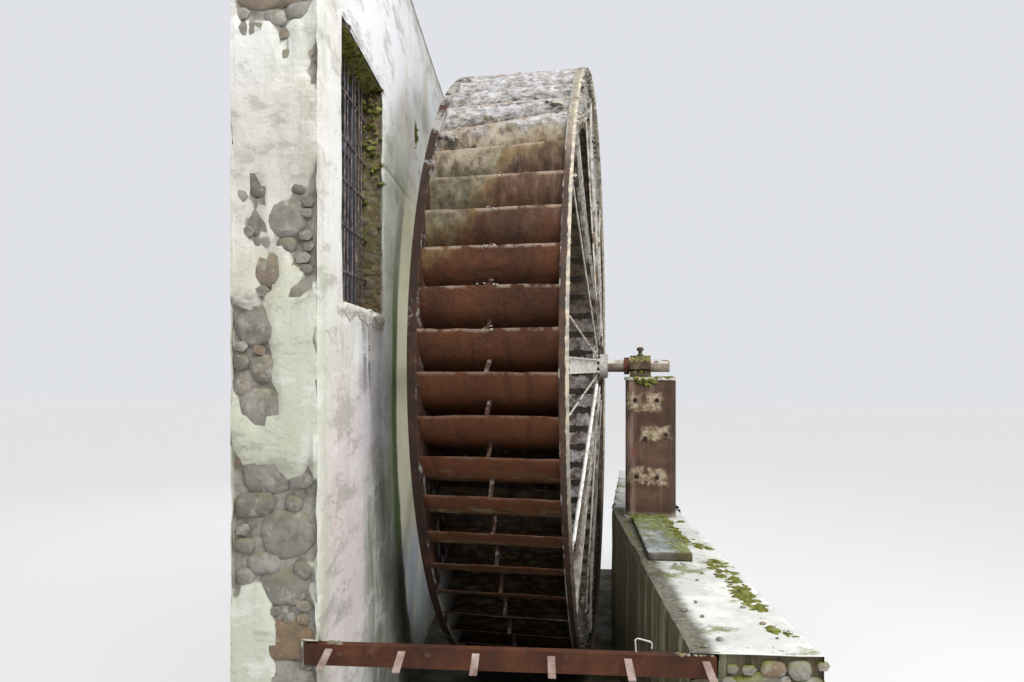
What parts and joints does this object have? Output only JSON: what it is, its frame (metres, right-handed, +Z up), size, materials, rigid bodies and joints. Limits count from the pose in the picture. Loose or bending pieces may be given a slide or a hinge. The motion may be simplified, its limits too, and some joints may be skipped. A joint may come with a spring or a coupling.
{
  "type": "mill water wheel with its race, bearings and mill wall",
  "caption": "Iron bucket wheel of a watermill on a horizontal shaft, in its race between a rendered mill wall with a window and a steel-clad bearing pier.",
  "frame": {"origin": "on the underside of the race floor, straight below the middle of the wheel", "axes": "+X along the shaft from the mill wall to the outer pier, +Y away from the front of the race, +Z up"},
  "size_m": [4.0223, 7.6465, 6.39],
  "materials": {
    "race_stone": "rough and damp, with green algae",
    "ledge_stone": "rough, mossy",
    "plaster_wall": "old plaster with stains and algae",
    "lintel_stone": "rough, mossy",
    "sill_mortar": "broken mortar",
    "casement_wood": "weathered paint",
    "pane_glass": "dirty",
    "bearing_iron": "rusty and greasy",
    "pier_plate": "lime-crusted",
    "pier_masonry": "rough",
    "pier_steel": "rusted, with lime patches",
    "shaft_iron": "rusted",
    "collar_iron": "bright rust",
    "hub_iron": "rusted",
    "arm_steel": "lime-crusted over rust",
    "shroud_steel": "rusted, with lime and lichen",
    "rim_steel": "lime-crusted over rust",
    "sole_steel": "rusted, with lime",
    "bucket_steel": "dark rust with lime streaks",
    "beam_steel": "rusted",
    "strap_steel": "pale rust",
    "stay_steel": "lime-crusted over rust",
    "rod_steel": "lime-crusted over rust"
  },
  "bodies": {
    "root": {"race_floor": "race_stone", "pit_wall": "race_stone", "race_beam": "beam_steel", "beam_straps": "strap_steel", "ledge_slab": "ledge_stone", "mill_wall": "plaster_wall", "window_lintel": "lintel_stone", "window_sill": "sill_mortar", "window_casement": "casement_wood", "window_panes": "pane_glass", "padstone": "ledge_stone", "inner_bearing_base": "bearing_iron", "inner_bearing_cap": "bearing_iron", "pier_base_plate": "pier_plate", "pier_core": "pier_masonry", "pier_casing": "pier_steel", "pier_cap_plate": "pier_plate", "outer_bearing_base": "bearing_iron", "outer_bearing_cap": "bearing_iron"},
    "wheel": {"shaft": "shaft_iron", "shaft_collars": "collar_iron", "right_hub": "hub_iron", "left_hub": "hub_iron", "right_arms": "arm_steel", "left_arms": "arm_steel", "right_shroud": "shroud_steel", "left_shroud": "shroud_steel", "right_rim_angle": "rim_steel", "left_rim_angle": "rim_steel", "right_sole_ring": "sole_steel", "left_sole_ring": "sole_steel", "right_joint_plates": "shroud_steel", "left_joint_plates": "shroud_steel", "buckets_front": "bucket_steel", "buckets_top": "bucket_steel", "buckets_back": "bucket_steel", "buckets_bottom": "bucket_steel", "sole_slats": "sole_steel", "bucket_stays": "stay_steel", "right_tie_rods": "rod_steel", "left_tie_rods": "rod_steel"}
  },
  "joints": [
    {"name": "wheel_spin", "type": "hinge", "parent": "root", "child": "wheel", "pos_m": [0, 0, 2.96], "axis": [1, 0, 0], "continuous": true}
  ]
}
